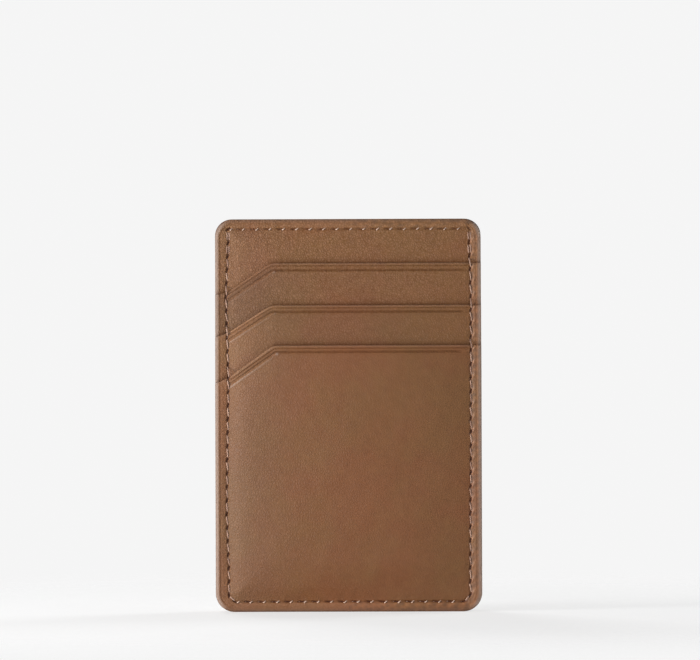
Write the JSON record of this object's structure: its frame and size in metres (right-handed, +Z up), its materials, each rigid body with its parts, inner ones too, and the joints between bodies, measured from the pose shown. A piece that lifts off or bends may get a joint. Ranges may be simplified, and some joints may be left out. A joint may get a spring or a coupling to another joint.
{
  "type": "stick-on card wallet",
  "caption": "Slim leather card wallet with stepped, slant-cut pockets and a sewn edge, with an adhesive pad on the back that sticks it to a flat surface.",
  "frame": {"origin": "centre of the adhesive face on the back", "axes": "+X to the right seen from the front, +Y out of the adhesive face, +Z up towards the pocket mouths"},
  "size_m": [0.064, 0.007, 0.0944],
  "materials": {
    "leather": "smooth tan-brown leather with a low sheen",
    "welt": "brown leather strip with a burnished edge",
    "board": "thin fibre board",
    "thread": "twisted polyester thread",
    "adhesive": "pale acrylic foam adhesive"
  },
  "bodies": {
    "root": {"adhesive_pad": "adhesive", "back_panel": "leather", "stiffener_board": "board", "body_panel": "leather", "rear_welt": "welt", "rear_pocket": "leather", "middle_welt": "welt", "middle_pocket": "leather", "front_welt": "welt", "front_pocket": "leather", "needle_thread": "thread", "bobbin_thread": "thread"}
  },
  "joints": []
}
